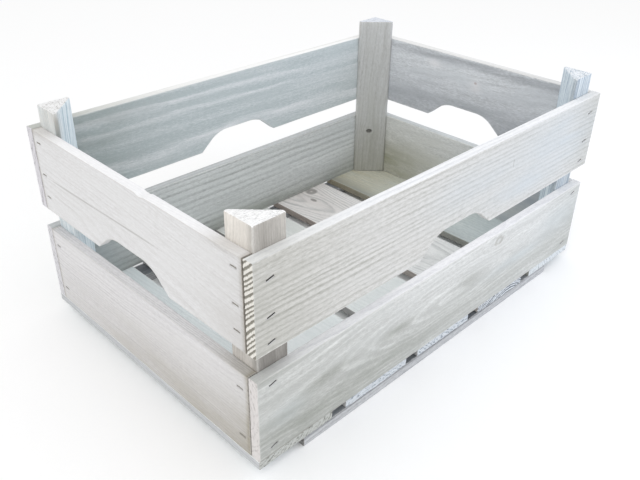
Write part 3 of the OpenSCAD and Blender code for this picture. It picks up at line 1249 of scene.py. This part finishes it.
@dataclass
class Walls:
    """The eight boards of the walls, two in each, with their hand-holds and the slots of their staples.

    Attributes:
        tilt: turn of the crowns on the long walls
        long_reach: from a long board's middle to its staples, along it
        end_reach: the same on an end board
        end_gap: how much shorter an end board is sawn, at each end
        long_rows: staples of a lower and an upper long board, across it
        end_rows: the same on end boards
    """

    tilt: float = math.radians(14)
    long_reach: float = 280.0
    end_reach: float = 175.0
    end_gap: float = 0.9
    long_rows: tuple[tuple[float, ...], tuple[float, ...]] = ((-40.5, 40.5), (-40.5, -11.5, 28.5))
    end_rows: tuple[tuple[float, ...], tuple[float, ...]] = ((-31.5, 31.5), (-31.5, -2.5, 37.5))

    def staples(self, side: Side, upper: bool) -> tuple[Staple, ...]:
        """Staples at both ends of a board.

        Args:
            side: the board's wall
            upper: whether it is the upper board

        Returns:
            the staples
        """
        rows = (self.long_rows if side.lengthways else self.end_rows)[upper]
        reach = self.long_reach if side.lengthways else self.end_reach
        turn = self.tilt if side.lengthways else 0.0
        return tuple(Staple(end * reach, row, turn) for end in (-1, 1) for row in rows)

    def board(self, side: Side, upper: bool, timber: Timber, cut: Cut, ridge: float = 0.35,
              dents: tuple[Dent, ...] = ()) -> Plank:
        """One board of a wall.

        Args:
            side: its wall
            upper: whether it is the upper one, with a hand-hold
            timber: its wood
            cut: its place in the log
            ridge: depth of the furrows in its cut ends
            dents: knocks in its arrises

        Returns:
            the board
        """
        grain, face = side.value
        return Plank(
            node=f"{side.name.lower()}_{'upper' if upper else 'lower'}_board",
            timber=timber,
            cut=cut,
            slot=Slot.LONG_WALL if side.lengthways else Slot.END_WALL,
            grain=grain,
            face=face,
            ridge=ridge,
            trim=0.0 if side.lengthways else self.end_gap,
            staples=self.staples(side, upper),
            dents=dents,
            hand_hold=HandHold() if upper else None,
        )

    def front(self) -> list[Plank]:
        """Front boards: the upper one scratched, the lower one from the heart, with a swirl in its grain.

        Returns:
            the upper and the lower board
        """
        scratch = Mark(102, 13, 14, math.radians(92), 0.5)
        # Painted shade: the upper board darker towards both ends
        upper_end_shade = (Patch.band(-300, 100, 0.5), Patch.band(300, 50, 0.35))
        upper_lime = (
            Patch.spot(205, 8, 120, 48, 0.6),
            Patch.spot(120, -26, 60, 13, 0.4),
            Patch.spot(15, 14, 70, 26, 0.4),
        )
        upper = Cut(315, -318, 0.015, 0.0, 1.2, 150, 1, marks=(scratch,), patches=upper_end_shade,
                    thick_lime_and_shade=upper_lime)
        swirl = Knot(97.5, 39.0, 6.0, 1.5, core=0.75)
        # A dark line along the lower edge where the board meets the slats, painted shade
        joint_shade_line = Mark(-262, -50.6, 100)
        crown = ((-300, 27), (41, 0), (173, 6), (300, -3))
        # Painted shade in the bands at both ends, the cloud at the lower near corner and the line along the
        # lower edge; dirt and painted shade on the top edge at the near end; the other spots darken it in
        # places
        lower_dirt_and_shade = (
            Patch.band(-300, 200, 0.35),
            Patch.spot(-190, -32, 170, 24, 0.45),
            Patch.spot(-150, -53, 230, 3, 0.5),
            Patch.spot(-300, 53, 45, 6, 0.45),
            Patch.spot(-204, 4, 34, 7, 0.5),
            Patch.spot(-91, 4, 30, 7, 0.45),
            Patch.spot(36, 6, 30, 11, 0.35),
            Patch.spot(120, -32, 220, 34, 0.38),
            Patch.band(300, 80, 0.25),
        )
        lower_lime = (
            Patch.spot(-262, -8, 22, 12, 0.6),
            Patch.spot(150, -9, 60, 9, 0.5),
            Patch.spot(255, 12, 55, 22, 0.5),
        )
        lower = Cut(-3, 11, 0.0, 0.0, 6.0, 200, 2, (swirl,), (joint_shade_line,), crown, lower_dirt_and_shade, lower_lime)
        return [
            self.board(Side.FRONT, True, FRONT_UPPER, upper, 0.6),
            self.board(Side.FRONT, False, FRONT_LOWER, lower, 0.4),
        ]

    def left(self) -> list[Plank]:
        """Left boards: grime and painted shade at their joints, painted shade near the front, dull at the
        foot, the upper one with a shake.

        Returns:
            the upper and the lower board
        """
        # Grime and painted shade in the joints at both ends, and painted shade towards the near corner
        joints = (Patch.band(-190, 5, 0.9), Patch.band(190, 5, 0.9))
        near_end_shade = Patch.band(190, 45, 0.12)
        # A dark line at the back end: grime and painted shade where the boards meet
        seam = Mark(-186.4, 0, 120, math.radians(90))
        shake = Mark(-50, -0.8, 264, math.radians(1.4), 0.3)
        chip = Dent(32, 51.5, 2.4, 5)
        upper_foot = Patch.spot(170, -30, 70, 30, 0.12)
        dirt = Patch.spot(158, 51.5, 26, 5, 0.3)
        far_dirt = Patch.spot(-175, 51.5, 34, 5, 0.4)
        upper = Cut(60, 130, 0.03, 0.04, 3.0, 220, 3, marks=(shake, seam),
                    patches=(upper_foot, near_end_shade, dirt, far_dirt, *joints))
        lower_foot = Patch.spot(210, -60, 330, 60, 0.7)
        # Painted shade on the lower board's top edge, in the slot under the upper board
        near_top_shade = Patch.spot(200, 57, 60, 7, 0.8)
        lower = Cut(-90, 100, 0.02, 0.03, 3.0, 240, 4, marks=(seam,),
                    patches=(lower_foot, near_top_shade, near_end_shade, *joints))
        return [
            self.board(Side.LEFT, True, LEFT_UPPER, upper, dents=(chip,)),
            self.board(Side.LEFT, False, LEFT_LOWER, lower),
        ]

    def back(self) -> list[Plank]:
        """Back boards with painted shade: the upper one greyer towards one end, the lower one at its foot
        and in its corner.

        Returns:
            the upper and the lower board
        """
        # Painted shade: the upper board greyer towards its end at the corner, the lower one darker along its
        # foot and, in the colour of thick lime, in its inner corner
        end = Patch.band(300, 150, 1.0)
        foot = Patch.spot(-60, -52, WHOLE, 22, 0.9)
        corner = Patch((300, 0, -6), (90, WHOLE, 8), 1.0)
        upper = Cut(90, 195, -0.031, 0.0, 5.0, 260, 5, patches=(end,))
        lower = Cut(-150, 140, 0.01, 0.0, 4.0, 260, 6, patches=(foot,), thick_lime_and_shade=(corner,))
        return [
            self.board(Side.BACK, True, BACK_UPPER, upper),
            self.board(Side.BACK, False, BACK_LOWER, lower),
        ]

    def right(self) -> list[Plank]:
        """Right boards: the upper one with painted shade and a blemish under thick lime, the lower one dull
        inside, with painted shade in its corner.

        Returns:
            the upper and the lower board
        """
        blemish = Knot(-14.5, 19.0, 1.8, 1.3, 0.4)
        # Painted shade on the upper board: darker in its lower part, just below its top edge and towards its
        # front end
        shade = (
            Patch.spot(0, -46, WHOLE, 50, 0.75),
            Patch.spot(0, 44, WHOLE, 7, 0.6),
            Patch.band(-188, 110, 0.25),
        )
        lime = (Patch.spot(-14.5, 14, 9, 8, 0.8), Patch.spot(62, 32, 12, 6, 0.6))
        upper = Cut(15, 60, 0.04, 0.06, 6.0, 200, 7, knots=(blemish,), patches=shade, thick_lime_and_shade=lime)
        foot = (Patch((110, -30, -6), (150, 50, 8), 0.5), Patch((188, -40, -6), (90, 45, 8), 0.5))
        # Painted shade in the lower board's inner front corner, in the colour of thick lime
        corner = Patch((-188, 0, -6), (130, WHOLE, 8), 1.0)
        lower = Cut(-20, 70, 0.03, 0.05, 5.0, 220, 8, patches=foot, thick_lime_and_shade=(corner,))
        return [
            self.board(Side.RIGHT, True, RIGHT_UPPER, upper),
            self.board(Side.RIGHT, False, RIGHT_LOWER, lower),
        ]

    def pieces(self) -> list[Plank]:
        """All eight boards."""
        return self.front() + self.left() + self.back() + self.right()


@dataclass
class Posts:
    """The four corner posts.

    Attributes:
        arris: width of their eased long edges
        lean: drift of the pith across and into a post, per mm of length
        wander: how far the rings stray
        wave: length of one stray along the grain
    """

    arris: float = 1.1
    lean: tuple[float, float] = (0.02, 0.03)
    wander: float = 2.0
    wave: float = 120.0

    def pieces(self) -> list[CornerPost]:
        """All four posts. The box's square corner is turned to the crate's corner.

        Returns:
            the posts
        """
        hole = Knot(-54.7, 3.8, 3.2, 1.1, 0.5, pit=4.0)
        # Painted shade on the near post's front face
        front_face_shade = Patch((0, 0, -19), (400, 60, 7), 0.75)
        tan_side = Patch((125, 0, -19), (75, 60, 9), 1.0)
        # Painted shade on the near post in the slot between the boards
        near_slot_shade = Patch((-14, 0, 0), (16, 60, 60), 0.55)
        # Painted shade on the right post's front face
        right_front_shade = Patch((0, -19, 0), (400, 7, 60), 0.75)
        # Painted shade on the right and left posts in the slot between the boards
        slot_shade = Patch((-14, 0, 0), (16, 60, 60), 0.5)
        dark_arris = Mark(100, 19, 50)
        dull_arris = Patch((110, -19, 18), (80, 4, 5), 1.0)
        # Grime and painted shade at the back post's foot
        foot_grime_and_shade = Patch((-130, 0, 0), (110, 100, 100), 0.65)
        log = (*self.lean, self.wander, self.wave)
        near = Cut(74, 33, *log, 11, patches=(front_face_shade, near_slot_shade))
        right = Cut(78, 31, *log, 12, patches=(right_front_shade, slot_shade, dull_arris))
        left = Cut(82, 29, *log, 13, marks=(dark_arris,), patches=(tan_side, slot_shade))
        back = Cut(86, 27, *log, 14, knots=(hole,), patches=(foot_grime_and_shade,))
        plans = (
            ("front_left", (0, 1, 0), POST_NEAR, near, 1.4),
            ("front_right", (-1, 0, 0), POST_RIGHT, right, 2.4),
            ("back_left", (1, 0, 0), POST_LEFT, left, 1.6),
            ("back_right", (0, -1, 0), POST_BACK, back, 0.8),
        )
        upward = (0, 0, 1)
        return [CornerPost(corner + "_post", wood, cut, Slot.POST, upward, face, self.arris, ridge)
                for corner, face, wood, cut, ridge in plans]


@dataclass
class Floor:
    """The five slats and the two laths under their ends, with their staples driven from below.

    Attributes:
        slat_reach: from a slat's middle to its staples, along it
        slat_aside: from a slat's middle line to its staples
        slat_ridge: depth of the furrows in the slats' cut ends
        slat_warps: cup and twist of each slat
        lath_row: from a lath's middle line to its staples
        lath_places: places of the staples along a lath
        lath_ridge: depth of the furrows in the laths' cut ends
        face: direction of the staple faces
    """

    slat_reach: float = 194.0
    slat_aside: float = 17.7
    slat_ridge: float = 0.6
    slat_warps: tuple[tuple[float, float], ...] = (
        (0.3, 0.2), (-0.6, 0.4), (0.7, -0.3), (-0.6, -0.4), (0.4, 0.3))
    lath_row: float = -6.0
    lath_places: tuple[float, ...] = (-218.5, -150.0, -98.5, -25.75, 25.75, 98.5, 150.0, 218.5)
    lath_ridge: float = 0.5
    face: tuple[int, int, int] = (0, 0, -1)

    def slats(self) -> list[Plank]:
        """The slats from left to right.

        Returns:
            the slats
        """
        staples = tuple(Staple(end * self.slat_reach, row * self.slat_aside, math.pi / 2)
                        for end in (-1, 1) for row in (-1, 1))
        knots = (Knot(180.0, 16.0, 9.0, 1.0, core=0.55), Knot(156.0, -2.0, 3.4, 1.9))
        # Painted shade: the back halves of the third and fourth slats darker and warmer
        back_half_shade = (Patch.band(220, 230, 1.0),)
        # Painted shade along the olive slat's edge in its back half, in the colour of thick lime
        edge_shade_strip = (Patch.spot(150, -48, 220, 17, 0.8),)
        far_end = (Patch.band(200, 150, 1.0),)
        woods = (SLAT_GREY, SLAT, SLAT, SLAT_KNOTTY, SLAT_OLIVE)
        cuts = (
            Cut(70, 60, 0.02, 0.03, 3.0, 200, 21),
            Cut(30, -70, 0.03, 0.04, 4.0, 200, 22),
            Cut(-50, 80, 0.02, -0.04, 4.0, 220, 23, patches=back_half_shade),
            Cut(0, -50, 0.08, 0.07, 4.0, 180, 24, knots, patches=back_half_shade),
            Cut(-80, 60, 0.02, 0.03, 3.0, 200, 25, patches=far_end, thick_lime_and_shade=edge_shade_strip),
        )
        return [
            Plank(f"floor_slat_{number}", wood, cut, Slot.FLOOR, (0, 1, 0), self.face, ridge=self.slat_ridge,
                  staples=staples, cup=cup, twist=twist)
            for number, (wood, cut, (cup, twist)) in enumerate(zip(woods, cuts, self.slat_warps), 1)
        ]

    def laths(self) -> list[Plank]:
        """The front and the back lath, with painted shade on top.

        Returns:
            the laths
        """
        staples = tuple(Staple(place, self.lath_row) for place in self.lath_places)
        # Painted shade on the top face, between and under the slats
        shaded_top = (Patch((0, 0, -6), (400, 60, 1), 1.0),)
        made = []
        for seed, side in enumerate((Side.FRONT, Side.BACK), 31):
            grain, _ = side.value
            cut = Cut(60, 90, 0.01, 0.02, 2.0, 200, seed, patches=shaded_top)
            made.append(Plank(f"{side.name.lower()}_lath", LATH, cut, Slot.FLOOR, grain, self.face,
                              ridge=self.lath_ridge, staples=staples))
        return made

    def pieces(self) -> list[Plank]:
        """All slats and laths."""
        return self.slats() + self.laths()


@dataclass(frozen=True)
class Wire:
    """Steel wire, drawn flat and zinc-washed: dull metal with fine lines, gone grey and spotted brown.

    Attributes:
        name: name of its material
        pale: colour of the zinc
        dark: colour of its drawn lines
        spot: colour of its spots
    """

    name: str
    pale: str
    dark: str
    spot: str

    # Sizes of the spots and the drawn lines, and height of both, in mm
    SPOT = 1.8
    LINE = 0.6
    RELIEF = 0.05

    def make(self) -> Material:
        """Makes the wire's material.

        Returns:
            the material
        """
        sheet = Sheet(self.name)
        add = sheet.add
        metres = add("TexCoord", {}, "Object")
        place = add("VectorMath", {0: metres, 1: (1 / MM, 1 / MM, 1 / MM)}, operation="MULTIPLY")
        spots = add("TexNoise", {"Vector": place, "Scale": 1 / self.SPOT, "Detail": 4.0, "Roughness": 0.65})
        along = add("VectorMath", {0: place, 1: (0.3, 3, 3)}, operation="MULTIPLY")
        drawn = add("TexNoise", {"Vector": along, "Scale": 1 / self.LINE, "Detail": 2.0})
        zinc = add("Mix", {0: drawn, 6: linear(self.pale), 7: linear(self.dark)}, 2, **COLOURS)
        rust = add("MapRange", {0: spots, 1: 0.5, 2: 0.68, 4: 0.8}, **EASED)
        colour = add("Mix", {0: rust, 6: zinc, 7: linear(self.spot)}, 2, **COLOURS)
        roughness = add("MapRange", {0: spots, 1: 0.3, 2: 0.7, 3: 0.45, 4: 0.8})
        height = add("Math", {0: spots, 1: drawn}, operation="ADD")
        return sheet.close(colour, roughness, height, self.RELIEF, Metallic=0.6)


# Wire of the staples: bare on the long walls and the floor, and limed over with the boards on the end walls
BARE_WIRE = Wire("zinc_washed_wire", "4d4b48", "353330", "2f2823")
LIMED_WIRE = Wire("limed_zinc_washed_wire", "a9a59b", "817d74", "5a5148")


@dataclass
class Staples:
    """The wire staples, which keep their CAD solids."""

    limed: tuple[str, ...] = ("left", "right")
    groups: tuple[str, ...] = tuple(
        [f"{side.name.lower()}_{level}_staples" for level in ("lower", "upper") for side in Side]
        + [f"floor_slat_{number}_staples" for number in range(1, 6)]
        + ["front_lath_staples", "back_lath_staples"]
    )

    def dress(self) -> None:
        """Gives every staple its wire."""
        bare = BARE_WIRE.make()
        limed = LIMED_WIRE.make()
        for name in self.groups:
            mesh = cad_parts[name].data
            mesh.materials.clear()
            mesh.materials.append(limed if name.startswith(self.limed) else bare)
            LOG.info("%s dressed", name)


@dataclass(frozen=True)
class Lamp:
    """A round soft lamp: place and aim in metres, power in watts, colour in sRGB hex."""

    name: str
    place: tuple[float, float, float]
    aim: tuple[float, float, float]
    size: float
    power: float
    colour: str = "ffffff"

    def build(self) -> None:
        """Puts the lamp in the scene, out of the camera's sight."""
        light = bpy.data.lights.new(self.name, "AREA")
        light.shape = "DISK"
        light.size = self.size
        light.energy = self.power
        light.color = linear(self.colour)[:3]
        lamp = bpy.data.objects.new(self.name, light)
        lamp.location = self.place
        way = Vector(self.aim) - Vector(self.place)
        lamp.rotation_euler = way.to_track_quat("-Z", "Y").to_euler()
        lamp.visible_camera = False
        bpy.context.scene.collection.objects.link(lamp)


@dataclass
class Studio:
    """A white floor, soft white light from all round, a large lamp on the left and a cool one on the right.

    Attributes:
        ambient: strength of the light from all round
        floor_size: width of the floor, in metres
        tooth: size of the paper's grain, in metres
        tooth_height: its height, in mm
        lamps: the lamps
    """

    ambient: float = 0.945
    floor_size: float = 30.0
    tooth: float = 0.004
    tooth_height: float = 0.02
    lamps: tuple[Lamp, ...] = (
        Lamp("softbox", (-1.8, -1.0, 2.6), (0.0, 0.0, 0.1), 2.0, 17.0),
        Lamp("window", (0.9, -0.85, 0.5), (0.25, -0.2, 0.15), 0.7, 2.7, "d4e3ff"),
    )

    def floor(self) -> None:
        """White matt paper sheet under the crate, plain to the eye apart from its faint tooth."""
        sheet = Sheet("matt_paper")
        add = sheet.add
        metres = add("TexCoord", {}, "Object")
        tooth = add("TexNoise", {"Vector": metres, "Scale": 1 / self.tooth, "Detail": 3.0})
        colour = add("Mix", {0: tooth, 6: linear("fdfdfd"), 7: linear("fbfbfb")}, 2, **COLOURS)
        roughness = add("MapRange", {0: tooth, 3: 0.85, 4: 0.95})
        material = sheet.close(colour, roughness, tooth, self.tooth_height, Specular_IOR_Level=0.0)
        bm = bmesh.new()
        bmesh.ops.create_grid(bm, x_segments=1, y_segments=1, size=self.floor_size / 2)
        mesh = bpy.data.meshes.new("paper")
        bm.to_mesh(mesh)
        bm.free()
        mesh.materials.append(material)
        paper = bpy.data.objects.new("paper", mesh)
        bpy.context.scene.collection.objects.link(paper)

    def light(self) -> None:
        """Soft white surroundings and the lamps."""
        world = bpy.data.worlds.new("studio")
        world.use_nodes = True
        sky = world.node_tree.nodes["Background"]
        sky.inputs["Color"].default_value = linear("ffffff")
        sky.inputs["Strength"].default_value = self.ambient
        bpy.context.scene.world = world
        for lamp in self.lamps:
            lamp.build()


@dataclass
class Camera:
    """The photograph's camera, as fitted to the crate's corners: place in metres, angles in degrees."""

    place: tuple[float, float, float] = (-0.6147, -0.5906, 0.5841)
    yaw: float = 44.76
    pitch: float = 31.32
    roll: float = 0.97
    focal_pixels: float = 729.0
    frame_width: float = 640.0
    sensor: float = 36.0

    def build(self) -> None:
        """Puts the camera in the scene."""
        yaw = math.radians(self.yaw)
        pitch = math.radians(self.pitch)
        roll = math.radians(self.roll)
        ahead = Vector((math.cos(pitch) * math.cos(yaw), math.cos(pitch) * math.sin(yaw), -math.sin(pitch)))
        level = Vector((math.sin(yaw), -math.cos(yaw), 0))
        upward = level.cross(ahead)
        right = math.cos(roll) * level + math.sin(roll) * upward
        top = math.cos(roll) * upward - math.sin(roll) * level
        turn = Matrix((right, top, -ahead)).transposed().to_4x4()
        lens = bpy.data.cameras.new("camera")
        lens.sensor_fit = "HORIZONTAL"
        lens.sensor_width = self.sensor
        lens.lens = self.focal_pixels / self.frame_width * self.sensor
        lens.clip_start = 0.01
        camera = bpy.data.objects.new("camera", lens)
        camera.matrix_world = Matrix.Translation(self.place) @ turn
        bpy.context.scene.collection.objects.link(camera)
        bpy.context.scene.camera = camera


def main() -> None:
    """Builds the crate piece by piece, then the studio and the camera."""
    logging.basicConfig(level=logging.INFO, format="%(name)s: %(message)s")
    scene = bpy.context.scene
    scene.view_settings.view_transform = "Standard"
    noise.seed_set(SEED)
    woods = {timber.name: WoodMaterials(timber) for timber in WOODS}
    for piece in Posts().pieces() + Walls().pieces() + Floor().pieces():
        built = piece.build(woods)
        LOG.info("%s built, %d faces", built.name, len(built.data.polygons))
    Staples().dress()
    studio = Studio()
    studio.floor()
    studio.light()
    Camera().build()


if __name__ == "__main__":
    main()
